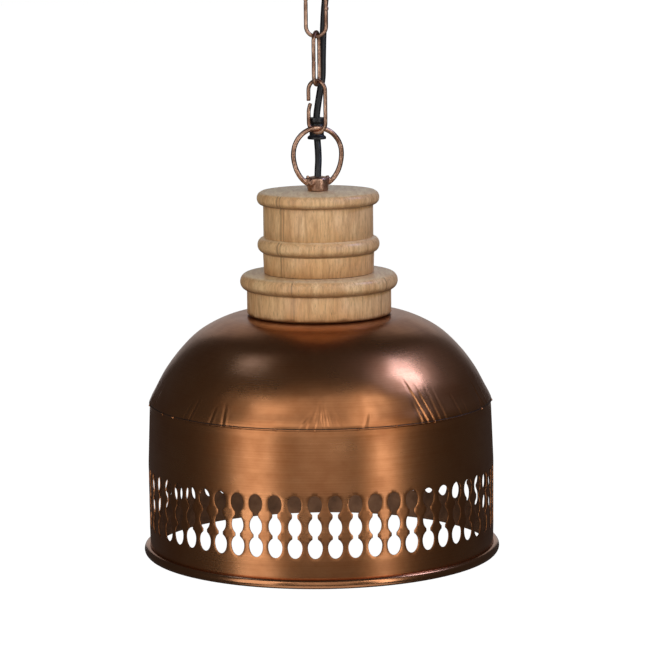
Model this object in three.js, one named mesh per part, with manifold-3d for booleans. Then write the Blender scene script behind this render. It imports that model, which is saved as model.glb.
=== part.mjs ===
// A hanging lantern: a pierced copper shade under a turned wooden cap, held by three chain links.
// A flex climbs beside the chain to a small ceiling cup, and a screw bulb hangs inside the shade.
// Millimetres, +Z up. The origin is the centre of the ceiling plate's top face, and +X is the right side.
import * as THREE from 'three';
import { mergeVertices } from 'three/addons/utils/BufferGeometryUtils.js';
import Module from 'manifold-3d';

const wasm = await Module();
wasm.setup();

// ---- Driving dimensions -------------------------------------------------------------------

const GAP = 0.3; // between two pieces that touch
const SHEET = 1; // thickness of the shade's metal

// Ceiling fitting
const PLATE = { radius: 45, thick: 2, screwSpacing: 64, screwHole: 2.5, wireHole: 7, wireHoleAt: [-10, -22] };
const CANOPY = { radius: 50, depth: 34, wall: 1.2, corner: 14 };
const BUSH = { radius: 8, length: 14 };
const HOOK = { wire: 5, bend: 9, centre: -52.5, eyeFrom: 58, eyeTo: -218, eyeStep: 46 }; // angles in degrees
const HOOK_NUT = { acrossFlats: 12, thick: 5 };
const TERMINAL = { width: 30, depth: 18, height: 11, ways: 3, spacing: 9, wayRadius: 2 };
const GROMMET = { flange: 8, neck: 5.7, insideFlange: 7.5, thick: 2, hole: 6 };

// Chain and ring
const LINK = { wire: 3.9, width: 19.5, pitch: 50.6 }; // width and pitch between wire centres
const LINK_YAWS = { chain_link_3: 0, chain_link_2: 74, chain_link_1: -34 }; // degrees about Z
const LINK_JOINTS = { chain_link_3: 8, chain_link_2: -2, chain_link_1: 4 }; // butt joint above the middle
const BUTT_GAP = { chain_link_3: 0.4, chain_link_2: 0.8, chain_link_1: 2.6 };
const RING = { wire: 4.7, halfWidth: 24, rise: 25.1, drop: 31.7, yaw: 14 };
const COLLAR = { radius: 10.25, height: 12.1, dome: 2, belowRingMiddle: 23.65, threadDepth: 3 };

// Flex
const CABLE = 6.7;
const CABLE_BORE = CABLE / 2 + GAP;
const NIPPLE = { outer: 4.85, inner: 3.65 };
const NIPPLE_BORE = NIPPLE.outer + GAP;

// Turned wood: heights are measured down from the top face
const WOOD_BORE = 5.6;
const WOOD = {
  neck: 53.5, topRadius: 59.6, topFlange: 12.8, beadRadius: 59.5, beadTop: 44.8, beadBottom: 58.8,
  foot: 79.6, flangeRadius: 76.9, flangeBottom: 95.3, baseRadius: 70.4, height: 120.2,
};

// Shade
const SLOTS = 56;
const SLOT_STEP = (2 * Math.PI) / SLOTS;
const FIRST_SLOT = THREE.MathUtils.degToRad(-92.06); // centre of the slot nearest the front
const DOME_HEIGHT = 85.8;
const LAP = 3; // how far the dome's edge covers the band
const RIM = { radius: 170.3, bead: 4.7 };
const BAND_DEPTH = 149; // seam to the underside of the rolled rim

// Lamp holder and bulb
const WASHER = { radius: 30, thick: 1.5 };
const NIPPLE_NUT = { acrossFlats: 17, thick: 4.5 };
const HOLDER = {
  radius: 21, wall: 2, capHeight: 25.8, shellHeight: 33.7, neck: 9, mouth: 15.5, threadDepth: 8,
};
const CORE = { belowTop: 16, belowJoint: 1.5, terminalAt: 9, wire: 2 };
const SCREW_SHELL = { wall: 0.8, length: 25 };
const CONTACT = { reach: 5, thick: 0.6, width: 5 };
const CAP_THREAD = 13.2; // radius of the bulb's screw cap
const BULB = { radius: 30, length: 106, capLength: 21, contactLength: 6, glass: 1 };
const FILAMENT = { radius: 11, waist: 0.55, wire: 1.4, turns: 8, sweep: 0.9, drop: 30, swing: 14 };

// ---- Heights, worked down from the ceiling ------------------------------------------------

const canopyBottom = -GAP - CANOPY.depth;
const hookBottom = HOOK.centre - HOOK.bend;
const linkTops = {};
const linkBottoms = {};
let hangsFrom = hookBottom;
let hangsFromWire = HOOK.wire;
for (const name of ['chain_link_3', 'chain_link_2', 'chain_link_1']) {
  linkTops[name] = hangsFrom + (hangsFromWire + LINK.wire) / 2 + GAP;
  linkBottoms[name] = linkTops[name] - LINK.pitch;
  hangsFrom = linkBottoms[name];
  hangsFromWire = LINK.wire;
}
const ringTop = hangsFrom + (LINK.wire + RING.wire) / 2 + GAP;
const ringMiddle = ringTop - RING.rise;
const collarTop = ringMiddle - COLLAR.belowRingMiddle;
const collarBottom = collarTop - COLLAR.height;
const woodTop = collarBottom - GAP;
const woodBottom = woodTop - WOOD.height;
const domeTop = woodBottom - GAP;
const seam = domeTop - DOME_HEIGHT;
const rimCentre = seam - BAND_DEPTH + RIM.bead;
const washerTop = domeTop - SHEET - GAP;
const nutTop = washerTop - WASHER.thick - GAP;
const holderTop = nutTop - NIPPLE_NUT.thick - GAP;
const holderJoint = holderTop - HOLDER.capHeight;
const holderBottom = holderJoint - GAP - HOLDER.shellHeight;
const flexEnd = holderTop - 7; // where the outer jacket is stripped
const coreTop = holderTop - CORE.belowTop;
const coreBottom = holderJoint - CORE.belowJoint;
const contactTip = coreBottom - CONTACT.reach; // underside of the centre contact

// ---- Materials ----------------------------------------------------------------------------

function finish(color, roughness, metalness) {
  return new THREE.MeshStandardMaterial({ color, roughness, metalness });
}

const copper = finish(0x9a5f3f, 0.35, 1);
const chainCopper = finish(0x8a5a45, 0.45, 1);
const wood = finish(0xcda074, 0.6, 0);
const blackPlastic = finish(0x141414, 0.45, 0);
const steel = finish(0x9a9a98, 0.4, 1);
const brass = finish(0xb08d4c, 0.35, 1);
const ceramic = finish(0xe8e4da, 0.4, 0);
const glass = new THREE.MeshStandardMaterial({
  color: 0xf4f4f0, roughness: 0.05, metalness: 0, transparent: true, opacity: 0.35,
});
const filamentYellow = finish(0xd9b45a, 0.5, 0);
const coreColours = {
  live: finish(0x5a3a22, 0.5, 0),
  neutral: finish(0x2b5fa8, 0.5, 0),
  earth: finish(0x6f9a3a, 0.5, 0),
};

// ---- Helpers ------------------------------------------------------------------------------

// A turned solid about Z. The profile lists [radius, height] anticlockwise and closes on itself.
function turned(profile, segments = 16) {
  const outline = profile.map(([r, z]) => new THREE.Vector2(r, z));
  if (outline[0].x > 0) outline.push(outline[0].clone());
  return new THREE.LatheGeometry(outline, segments).rotateX(Math.PI / 2);
}

// Points on an elliptical arc in the [radius, height] plane, from one angle to another in degrees.
function arc(r, z, across, up, from, to, steps) {
  const points = [];
  for (let i = 0; i <= steps; i += 1) {
    const a = THREE.MathUtils.degToRad(from + ((to - from) * i) / steps);
    points.push([r + across * Math.cos(a), z + up * Math.sin(a)]);
  }
  return points;
}

// A plain tube wall between two radii.
function sleeve(inner, outer, bottom, top, segments = 24) {
  return turned([[inner, bottom], [outer, bottom], [outer, top], [inner, top]], segments);
}

function circle(x, y, radius) {
  const path = new THREE.Shape();
  path.absarc(x, y, radius, 0, 2 * Math.PI);
  return path;
}

// A flat outline in XY, with holes, raised from bottom to top.
function slab(outline, holes, bottom, top, roundness = 12) {
  outline.holes.push(...holes);
  const options = { depth: top - bottom, bevelEnabled: false, curveSegments: roundness };
  return new THREE.ExtrudeGeometry(outline, options).translate(0, 0, bottom);
}

function hexNut(acrossFlats, bore, bottom, top) {
  const corner = acrossFlats / Math.sqrt(3);
  const corners = [0, 1, 2, 3, 4, 5].map((i) => {
    return new THREE.Vector2(corner * Math.cos((i * Math.PI) / 3), corner * Math.sin((i * Math.PI) / 3));
  });
  return slab(new THREE.Shape(corners), [circle(0, 0, bore)], bottom, top, 8);
}

// A round bar along a curve.
function rod(path, diameter, steps, sides = 8) {
  const options = { steps, bevelEnabled: false, curveSegments: sides / 2, extrudePath: path };
  return new THREE.ExtrudeGeometry(circle(0, 0, diameter / 2), options);
}

function toManifold(geometry) {
  const bare = geometry.clone();
  bare.deleteAttribute('normal');
  bare.deleteAttribute('uv');
  const merged = mergeVertices(bare);
  const vertProperties = new Float32Array(merged.attributes.position.array);
  const triVerts = new Uint32Array(merged.index.array);
  return new wasm.Manifold(new wasm.Mesh({ numProp: 3, vertProperties, triVerts }));
}

function fromManifold(manifold) {
  const mesh = manifold.getMesh();
  const geometry = new THREE.BufferGeometry();
  geometry.setAttribute('position', new THREE.BufferAttribute(mesh.vertProperties, 3));
  geometry.setIndex(new THREE.BufferAttribute(mesh.triVerts, 1));
  return geometry;
}

function cut(geometry, ...tools) {
  const start = toManifold(geometry);
  return fromManifold(tools.reduce((left, tool) => left.subtract(toManifold(tool)), start));
}

function peg(x, y, radius, bottom, top, segments = 20) {
  const height = top - bottom;
  const geometry = new THREE.CylinderGeometry(radius, radius, height, segments).rotateX(Math.PI / 2);
  return geometry.translate(x, y, (top + bottom) / 2);
}

const lantern = new THREE.Group();

function add(name, geometry, material, parent = lantern) {
  const mesh = new THREE.Mesh(geometry, material);
  mesh.name = name;
  parent.add(mesh);
}

// ---- Flex route ---------------------------------------------------------------------------

// The route rises from the loop's collar, leans back behind the ring and stays behind the chain.
const ROUTE = [
  [0, 0, -243.5], [0.3, 1.3, -236], [0.8, 5, -227.3], [0.6, 9.6, -218], [0.1, 12.8, -210.5],
  [-0.3, 14.2, -203], [-0.5, 14.5, -195.6], [-0.5, 14.6, -186], [0.9, 15.2, -174.85],
  [3.4, 15.8, -160], [5.4, 16, -148],
  [6, 16.2, -128.45], [6.6, 16.4, -110], [7.3, 16.6, -96], [8.2, 16.8, -82.05], [9.6, 17.1, -68],
  [10.8, 17.4, -52], [11, 17.5, -40], [11, 17.5, -29], [11, 17.5, -18.3],
].map(([x, y, z]) => new THREE.Vector3(x, y, z));
const ROUTE_STOPS = {
  cable_lower: [0, 8], cable_mid_lower: [8, 11], cable_mid_upper: [11, 14], cable_upper: [14, 19],
};
const GLAND = { x: 11, y: 17.5 };
const GRIP_POINT = 6; // the cord grip is centred on this point of the route
const wholeRoute = new THREE.CatmullRomCurve3(ROUTE);

// One stretch of the flex between two points of its route, stopping short of its neighbours.
class FlexStretch extends THREE.Curve {
  constructor(first, last) {
    super();
    const short = GAP / 2 / wholeRoute.getLength();
    this.from = first / (ROUTE.length - 1) + (first > 0 ? short : 0);
    this.to = last / (ROUTE.length - 1) - (last < ROUTE.length - 1 ? short : 0);
  }

  getPoint(t, target = new THREE.Vector3()) {
    return wholeRoute.getPoint(THREE.MathUtils.lerp(this.from, this.to, t), target);
  }
}

function makeFlex() {
  for (const [name, [first, last]] of Object.entries(ROUTE_STOPS)) {
    add(name, rod(new FlexStretch(first, last), CABLE, last - first + 3, 10), blackPlastic);
  }
  add('cable_inner', peg(0, 0, CABLE / 2, flexEnd, collarTop - 1, 10), blackPlastic);
}

// A moulded spool that grips the flex behind the ring.
function makeCordGrip() {
  const profile = [
    [5.4, -12], [9.1, -12], [9.1, -9.4], [7, -8], [7, 3.6], [8.4, 4.8], [8.4, 9], [CABLE_BORE + 0.3, 9],
    [CABLE_BORE + 0.2, -5],
  ];
  const grip = new THREE.Group();
  grip.position.copy(ROUTE[GRIP_POINT]);
  add('cord_grip', turned(profile), blackPlastic, grip);
  lantern.add(grip);
}

// ---- Ceiling fitting ----------------------------------------------------------------------

function makeCeilingPlate() {
  const half = PLATE.screwSpacing / 2;
  const screws = [-half, half].map((x) => circle(x, 0, PLATE.screwHole));
  const holes = [...screws, circle(...PLATE.wireHoleAt, PLATE.wireHole)];
  add('ceiling_plate', slab(circle(0, 0, PLATE.radius), holes, -PLATE.thick, 0, 10), steel);
  const bushTop = -PLATE.thick - GAP;
  add('hook_bush', sleeve(HOOK.wire / 2 + GAP, BUSH.radius, bushTop - BUSH.length, bushTop), steel);
}

function makeCanopy() {
  const { radius, wall, corner } = CANOPY;
  const centre = canopyBottom + corner;
  const bore = HOOK.wire / 2 + GAP;
  const profile = [
    [bore, canopyBottom],
    ...arc(radius - corner, centre, corner, corner, -90, 0, 3),
    [radius, -GAP],
    [radius - wall, -GAP],
    ...arc(radius - corner, centre, corner - wall, corner - wall, 0, -90, 3),
    [bore, canopyBottom + wall],
  ];
  const outlet = peg(GLAND.x, GLAND.y, GROMMET.hole, canopyBottom - 5, canopyBottom + 5);
  add('canopy', cut(turned(profile, 32), outlet), copper);
  const nutTopFace = canopyBottom - GAP;
  add('canopy_nut', hexNut(HOOK_NUT.acrossFlats, bore, nutTopFace - HOOK_NUT.thick, nutTopFace), copper);
}

function makeGrommet() {
  const outside = canopyBottom - GAP;
  const inside = canopyBottom + CANOPY.wall + GAP;
  const { flange, neck, insideFlange, thick } = GROMMET;
  const profile = [
    [CABLE_BORE, outside - thick], [flange, outside - thick], [flange, outside], [neck, outside],
    [neck, inside], [insideFlange, inside], [insideFlange, inside + thick], [CABLE_BORE, inside + thick],
  ];
  const grommet = new THREE.Group();
  grommet.position.set(GLAND.x, GLAND.y, 0);
  add('cable_grommet', turned(profile), blackPlastic, grommet);
  lantern.add(grommet);
}

function makeTerminalBlock() {
  const bottom = ROUTE[ROUTE.length - 1].z + GAP;
  const block = new THREE.BoxGeometry(TERMINAL.width, TERMINAL.depth, TERMINAL.height);
  block.translate(GLAND.x, GLAND.y + 1.5, bottom + TERMINAL.height / 2);
  const ways = [];
  for (let i = 0; i < TERMINAL.ways; i += 1) {
    const x = GLAND.x + (i - (TERMINAL.ways - 1) / 2) * TERMINAL.spacing;
    ways.push(peg(x, GLAND.y + 6, TERMINAL.wayRadius, bottom + 4, bottom + TERMINAL.height + 1, 12));
  }
  add('terminal_block', cut(block, ...ways), ceramic);
}

// A wire hook: a straight shank on the axis, then an open eye in the YZ plane.
function makeHook() {
  const points = [-4, -20, -38, -40.3].map((z) => new THREE.Vector3(0, 0, z));
  for (let angle = HOOK.eyeFrom; angle >= HOOK.eyeTo; angle -= HOOK.eyeStep) {
    const a = THREE.MathUtils.degToRad(angle);
    points.push(new THREE.Vector3(0, HOOK.bend * Math.cos(a), HOOK.centre + HOOK.bend * Math.sin(a)));
  }
  add('ceiling_hook', rod(new THREE.CatmullRomCurve3(points), HOOK.wire, 22), chainCopper);
}

// ---- Chain and ring -----------------------------------------------------------------------

// A wire bent into a long link in the XZ plane, with its butt joint on the left leg.
class LinkPath extends THREE.Curve {
  constructor(jointHeight, jointGap) {
    super();
    this.bend = LINK.width / 2;
    this.half = (LINK.pitch - LINK.width) / 2;
    this.jointHeight = jointHeight;
    this.jointGap = jointGap;
  }

  getPoint(t, target = new THREE.Vector3()) {
    const { bend, half } = this;
    const turn = Math.PI * bend;
    let s = this.jointGap / 2 + t * (2 * turn + 4 * half - this.jointGap) - this.jointHeight - half;
    if (s < 0) return target.set(-bend, 0, -half - s);
    if (s < turn) return target.set(-bend * Math.cos(s / bend), 0, -half - bend * Math.sin(s / bend));
    s -= turn;
    if (s < 2 * half) return target.set(bend, 0, s - half);
    s -= 2 * half;
    if (s < turn) return target.set(bend * Math.cos(s / bend), 0, half + bend * Math.sin(s / bend));
    return target.set(-bend, 0, half - (s - turn));
  }
}

function makeChain() {
  for (const [name, yaw] of Object.entries(LINK_YAWS)) {
    const link = new THREE.Group();
    link.position.z = (linkTops[name] + linkBottoms[name]) / 2;
    link.rotation.z = THREE.MathUtils.degToRad(yaw);
    add(name, rod(new LinkPath(LINK_JOINTS[name], BUTT_GAP[name]), LINK.wire, 26), chainCopper, link);
    lantern.add(link);
  }
}

// An egg-shaped wire ring whose two ends are brazed to the collar's sides.
class RingPath extends THREE.Curve {
  getPoint(t, target = new THREE.Vector3()) {
    const a = THREE.MathUtils.degToRad(-66 + 312 * t);
    const tall = Math.sin(a) > 0 ? RING.rise : RING.drop;
    return target.set(RING.halfWidth * Math.cos(a), 0, ringMiddle + tall * Math.sin(a));
  }
}

function makeRing() {
  const clearance = peg(0, 0, COLLAR.radius + GAP, collarBottom - 5, collarTop + COLLAR.dome + 1);
  const ring = rod(new RingPath(), RING.wire, 26).rotateZ(THREE.MathUtils.degToRad(RING.yaw));
  add('hanging_ring', cut(ring, clearance), chainCopper);
  const nippleTop = collarTop - COLLAR.threadDepth - GAP;
  const collar = [
    [NIPPLE_BORE, collarBottom], [COLLAR.radius, collarBottom], [COLLAR.radius, collarTop],
    [CABLE_BORE + 1.5, collarTop + COLLAR.dome], [CABLE_BORE, collarTop + COLLAR.dome],
    [CABLE_BORE, nippleTop + GAP], [NIPPLE_BORE, nippleTop + GAP],
  ];
  add('loop_collar', turned(collar), chainCopper);
  add('threaded_nipple', sleeve(NIPPLE.inner, NIPPLE.outer, flexEnd - GAP, nippleTop, 16), steel);
}

// ---- Turned wood --------------------------------------------------------------------------

function makeWood() {
  const down = (drop) => woodTop - drop;
  const foot = down(WOOD.foot);
  const upper = [
    [WOOD_BORE, foot + GAP],
    [WOOD.neck, foot + GAP],
    ...arc(WOOD.neck, down((WOOD.beadTop + WOOD.beadBottom) / 2), WOOD.beadRadius - WOOD.neck, 7, -90, 90, 6),
    [WOOD.neck, down(WOOD.topFlange)],
    ...arc(WOOD.topRadius - 5, down(6.4), 5, 6.2, -80, 60, 5),
    [WOOD.topRadius - 4.5, woodTop],
    [WOOD_BORE, woodTop],
  ];
  add('wood_cap', turned(upper, 32), wood);
  const flangeMiddle = (WOOD.foot + WOOD.flangeBottom) / 2;
  const lower = [
    [WOOD_BORE, woodBottom],
    [WOOD.baseRadius - 1, woodBottom],
    [WOOD.baseRadius, woodBottom + 1.5],
    [WOOD.baseRadius, down(WOOD.flangeBottom)],
    ...arc(WOOD.flangeRadius - 7, down(flangeMiddle), 7, (WOOD.flangeBottom - WOOD.foot) / 2, -85, 80, 6),
    [WOOD.flangeRadius - 8, foot],
    [WOOD_BORE, foot],
  ];
  add('wood_base', turned(lower, 32), wood);
}

// ---- Shade --------------------------------------------------------------------------------

// The dome's outside as [radius, drop below its flat top], for a smooth curve.
const DOME_OUTLINE = [
  [70.5, 0], [86, 1.4], [105.5, 9.1], [122, 19.6], [139, 36.8],
  [152, 54.4], [161.5, 71.6], [166.4, 81.3], [167.5, DOME_HEIGHT],
];

function makeDome() {
  const curve = new THREE.SplineCurve(DOME_OUTLINE.map(([r, drop]) => new THREE.Vector2(r, domeTop - drop)));
  const outside = [];
  const inside = [];
  const steps = 8;
  for (let i = 0; i <= steps; i += 1) {
    const point = curve.getPointAt(i / steps);
    const along = curve.getTangentAt(i / steps);
    outside.unshift([point.x, point.y]);
    inside.push([point.x + along.y * SHEET, point.y - along.x * SHEET]);
  }
  inside[steps] = [outside[0][0] - SHEET, seam];
  const profile = [...outside, [NIPPLE_BORE, domeTop], [NIPPLE_BORE, domeTop - SHEET], ...inside];
  add('shade_dome', turned(profile, SLOTS), copper);
}

// Half of one pierced slot's outline, bottom to top, as [half width, height]: three lobes with narrow necks.
const SLOT = { aboveRim: 23.7, neck: 2.4, lobes: [[6.9, 10.9, 10.9], [6.2, 30.9, 10.6], [6.7, 49.8, 9.9]] };
const slotBottom = rimCentre + SLOT.aboveRim;
const LOBE_ANGLES = [[-45, 20], [-28, 28], [-20, 45]];

function slotOutline() {
  const right = [];
  SLOT.lobes.forEach(([halfWidth, middle, tall], i) => {
    for (const angle of LOBE_ANGLES[i]) {
      const a = THREE.MathUtils.degToRad(angle);
      right.push([halfWidth * Math.cos(a), middle + tall * Math.sin(a)]);
    }
    if (i < 2) right.push([SLOT.neck, middle + tall * Math.sqrt(1 - (SLOT.neck / halfWidth) ** 2)]);
  });
  const left = right.map(([x, z]) => [-x, z]).reverse();
  const top = SLOT.lobes[2][1] + SLOT.lobes[2][2];
  return [[0, 0], ...right, [0, top], ...left].map(([x, z]) => new THREE.Vector2(x, slotBottom + z));
}

// The band's wall as [outer radius, height] from its top edge down to the rim.
const PANEL = { top: seam - 59, bottom: seam - 123.5, topRadius: 169.4, bottomRadius: 169.2 };
const BAND_WALL = [
  [165, seam + LAP], [166, seam - 0.5], [168.3, seam - 31], [PANEL.topRadius, PANEL.top],
  [PANEL.bottomRadius, PANEL.bottom], [168.8, rimCentre + RIM.bead + 1],
];

// The band in section, anticlockwise from the panel's lower outside edge: up the outside, over the top,
// down the inside, round the rolled rim and back to the start.
function bandSection() {
  const outside = BAND_WALL.slice(0, 5).reverse();
  const inside = BAND_WALL.map(([r, z]) => [r - SHEET, z]);
  const rollInside = arc(RIM.radius, rimCentre, RIM.bead, RIM.bead, 118, 435, 7);
  const rollOutside = arc(RIM.radius, rimCentre, RIM.bead - SHEET, RIM.bead - SHEET, 435, 112, 5);
  return [...outside, ...inside, ...rollInside, ...rollOutside, BAND_WALL[5]];
}

// Repeats one sector round the axis. The section's two panel edges carry the pierced slot.
function makeBand() {
  const section = bandSection();
  const outerPanel = 0; // the section's edge from the panel's bottom to its top, outside
  const innerPanel = section.findIndex(([r, z]) => z === PANEL.top && r < PANEL.topRadius);
  const outline = slotOutline();
  const width = PANEL.topRadius * SLOT_STEP;
  const border = [
    new THREE.Vector2(-width / 2, PANEL.bottom), new THREE.Vector2(width / 2, PANEL.bottom),
    new THREE.Vector2(width / 2, PANEL.top), new THREE.Vector2(-width / 2, PANEL.top),
  ];
  const flat = [...border, ...outline];
  const faces = THREE.ShapeUtils.triangulateShape(border, [outline]);
  const corners = [];
  const put = (...points) => points.forEach((p) => corners.push(...p));
  const quad = (a, b, c, d) => put(a, b, c, a, c, d);
  const place = (sector, x, r, z) => {
    const angle = FIRST_SLOT + (sector + x / width) * SLOT_STEP;
    return [r * Math.cos(angle), r * Math.sin(angle), z];
  };
  const onPanel = (sector, point, depth) => {
    const share = (point.y - PANEL.bottom) / (PANEL.top - PANEL.bottom);
    const radius = THREE.MathUtils.lerp(PANEL.bottomRadius, PANEL.topRadius, share);
    return place(sector, point.x, radius - depth, point.y);
  };
  for (let sector = 0; sector < SLOTS; sector += 1) {
    section.forEach(([r, z], i) => {
      const [nextR, nextZ] = section[(i + 1) % section.length];
      if (i === outerPanel || i === innerPanel) return;
      quad(
        place(sector, -width / 2, r, z), place(sector, width / 2, r, z),
        place(sector, width / 2, nextR, nextZ), place(sector, -width / 2, nextR, nextZ),
      );
    });
    for (const [a, b, c] of faces) {
      const across = flat[b].clone().sub(flat[a]).cross(flat[c].clone().sub(flat[a]));
      const [second, third] = across > 0 ? [b, c] : [c, b];
      put(...[a, second, third].map((index) => onPanel(sector, flat[index], 0)));
      put(...[a, third, second].map((index) => onPanel(sector, flat[index], SHEET)));
    }
    outline.forEach((point, i) => {
      const next = outline[(i + 1) % outline.length];
      quad(
        onPanel(sector, point, 0), onPanel(sector, next, 0),
        onPanel(sector, next, SHEET), onPanel(sector, point, SHEET),
      );
    });
  }
  const geometry = new THREE.BufferGeometry();
  geometry.setAttribute('position', new THREE.Float32BufferAttribute(corners, 3));
  add('shade_band', mergeVertices(geometry, 1e-3), copper);
}

function makeShadeFixings() {
  add('dome_washer', sleeve(NIPPLE_BORE, WASHER.radius, washerTop - WASHER.thick, washerTop), steel);
  add('nipple_nut', hexNut(NIPPLE_NUT.acrossFlats, NIPPLE_BORE, nutTop - NIPPLE_NUT.thick, nutTop), steel);
}

// ---- Lamp holder --------------------------------------------------------------------------

function makeHolder() {
  const { radius, wall, neck, mouth, threadDepth } = HOLDER;
  const inner = radius - wall;
  const cap = [
    [inner, holderJoint], [radius, holderJoint], [radius, holderTop - 13], [radius - 2, holderTop - 9.5],
    [neck, holderTop - 6], [neck, holderTop], [NIPPLE_BORE, holderTop],
    [NIPPLE_BORE, holderTop - threadDepth],
    [inner - 2, holderTop - 11.5], [inner, holderTop - 15],
  ];
  add('holder_cap', turned(cap), blackPlastic);
  const shellTop = holderJoint - GAP;
  const shell = [
    [mouth, holderBottom], [radius - 3, holderBottom], [radius, shellTop - 14], [radius, shellTop],
    [inner, shellTop], [inner, shellTop - 14], [inner - 2.5, holderBottom + wall],
    [mouth, holderBottom + wall],
  ];
  add('holder_shell', turned(shell), blackPlastic);
  const side = inner - GAP;
  add('holder_core', turned([[0, coreBottom], [side, coreBottom], [side, coreTop], [0, coreTop]]), ceramic);
  const bore = CAP_THREAD + GAP;
  const screwShell = sleeve(bore, bore + SCREW_SHELL.wall, coreBottom - SCREW_SHELL.length, coreBottom - GAP);
  add('screw_shell', screwShell, brass);
}

// A bent brass tongue: its foot lies under the core and its tip presses on the bulb.
function makeCentreContact() {
  const top = coreBottom - GAP;
  const { thick, width } = CONTACT;
  const outline = [
    [-9, top - thick], [-3, top - thick], [2, contactTip], [6, contactTip],
    [6, contactTip + thick], [2.4, contactTip + thick], [-2.6, top], [-9, top],
  ];
  const shape = new THREE.Shape(outline.map(([x, z]) => new THREE.Vector2(x, z)));
  const strip = new THREE.ExtrudeGeometry(shape, { depth: width, bevelEnabled: false });
  add('centre_contact', strip.rotateX(Math.PI / 2).translate(0, width / 2, 0), brass);
}

// Three insulated cores fan out from the flex's end to the terminals on the core.
function makeCores() {
  const start = flexEnd - 2 * GAP;
  const out = CORE.terminalAt;
  const ends = { live: [out, 0], neutral: [-out, 0], earth: [0, out] };
  for (const [name, [x, y]] of Object.entries(ends)) {
    const path = new THREE.CatmullRomCurve3([
      new THREE.Vector3(x * 0.18, y * 0.18, start), new THREE.Vector3(x * 0.2, y * 0.2, start - 0.8),
      new THREE.Vector3(x * 0.45, y * 0.45, start - 3),
      new THREE.Vector3(x, y, start - 5.5), new THREE.Vector3(x, y, coreTop + GAP),
    ]);
    add(`${name}_core`, rod(path, CORE.wire, 6), coreColours[name]);
  }
}

// ---- Bulb ---------------------------------------------------------------------------------

function makeBulb() {
  const tip = contactTip - GAP;
  const capTop = tip - BULB.contactLength;
  const capBottom = capTop - BULB.capLength;
  const bottom = tip - BULB.length;
  const centre = bottom + BULB.radius;
  add('bulb_contact', turned([[0, tip - 1], [4.5, tip - 1], [4.2, tip], [0, tip]]), brass);
  const collar = [[0, capTop + GAP], [11.8, capTop + GAP], [4.8, tip - 1 - GAP], [0, tip - 1 - GAP]];
  add('bulb_insulator', turned(collar), blackPlastic);
  add('bulb_cap', sleeve(CAP_THREAD - 1, CAP_THREAD, capBottom, capTop), steel);
  const neck = CAP_THREAD - 1 - GAP;
  const hollow = BULB.radius - BULB.glass;
  const outside = [
    ...arc(0, centre, BULB.radius, BULB.radius, -90, 40, 6), [15.5, capBottom - 8], [neck, capBottom - 1],
  ];
  const lip = [
    [neck, capTop - 8], [neck - BULB.glass, capTop - 8], [neck - BULB.glass, capBottom - 1.4],
    [14.5, capBottom - 8.3],
  ];
  const inside = arc(0, centre, hollow, hollow, 40, -90, 6);
  add('bulb_glass', turned([...outside, ...lip, ...inside], 20), glass);
  const stemTop = capTop - 9;
  const stem = [[0, capBottom - 22], [2.5, capBottom - 22], [3, capBottom], [9.5, stemTop], [0, stemTop]];
  add('bulb_stem', turned(stem, 12), glass);
  const zigzag = [];
  for (let i = 0; i <= FILAMENT.turns; i += 1) {
    const low = i % 2;
    const r = FILAMENT.radius * (low ? FILAMENT.waist : 1);
    const a = (i / FILAMENT.turns) * 2 * Math.PI * FILAMENT.sweep;
    const z = capBottom - FILAMENT.drop - low * FILAMENT.swing;
    zigzag.push(new THREE.Vector3(r * Math.cos(a), r * Math.sin(a), z));
  }
  const filament = rod(new THREE.CatmullRomCurve3(zigzag), FILAMENT.wire, 3 * FILAMENT.turns, 6);
  add('bulb_filament', filament, filamentYellow);
}

makeCeilingPlate();
makeCanopy();
makeGrommet();
makeTerminalBlock();
makeHook();
makeChain();
makeFlex();
makeCordGrip();
makeRing();
makeWood();
makeDome();
makeBand();
makeShadeFixings();
makeHolder();
makeCentreContact();
makeCores();
makeBulb();

export default lantern;
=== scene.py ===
"""A hanging lantern: a pierced copper shade under a turned wooden cap, on a chain with a flex beside it.

Lengths are in millimetres unless a name ends in _m, and MM turns them into Blender's metres.
Angles round the lantern are in degrees from its front, and grow towards the right as seen from there.
"""
import math
import random
from functools import lru_cache

import bmesh
import bpy
import numpy as np
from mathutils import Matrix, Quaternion, Vector, geometry, noise


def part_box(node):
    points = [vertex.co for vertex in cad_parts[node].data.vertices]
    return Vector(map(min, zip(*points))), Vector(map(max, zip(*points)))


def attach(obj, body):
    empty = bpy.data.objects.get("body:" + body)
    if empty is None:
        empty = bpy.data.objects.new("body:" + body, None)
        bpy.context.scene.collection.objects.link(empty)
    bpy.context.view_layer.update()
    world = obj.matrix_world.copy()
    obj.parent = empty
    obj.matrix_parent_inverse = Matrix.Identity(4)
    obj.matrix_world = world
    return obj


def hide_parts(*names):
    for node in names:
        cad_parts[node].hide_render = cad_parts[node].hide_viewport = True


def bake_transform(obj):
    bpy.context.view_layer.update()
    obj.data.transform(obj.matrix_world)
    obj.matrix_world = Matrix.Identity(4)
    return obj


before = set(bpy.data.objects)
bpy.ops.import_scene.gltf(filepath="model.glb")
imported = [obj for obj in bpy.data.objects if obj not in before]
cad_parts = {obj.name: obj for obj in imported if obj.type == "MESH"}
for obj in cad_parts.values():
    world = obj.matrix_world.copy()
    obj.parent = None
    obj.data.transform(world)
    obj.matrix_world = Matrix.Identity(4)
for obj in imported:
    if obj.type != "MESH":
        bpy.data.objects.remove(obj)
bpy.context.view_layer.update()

MM = 0.001
GAP = 0.3
SHEET = 1.0
TAU = 2 * math.pi
ON_AXIS = 1e-6  # a smaller radius than this is taken as 0


@lru_cache(maxsize=None)
def low(node):
    """The lowest corner of a CAD node's box."""
    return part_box(node)[0] / MM


@lru_cache(maxsize=None)
def high(node):
    """The highest corner of a CAD node's box."""
    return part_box(node)[1] / MM


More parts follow.
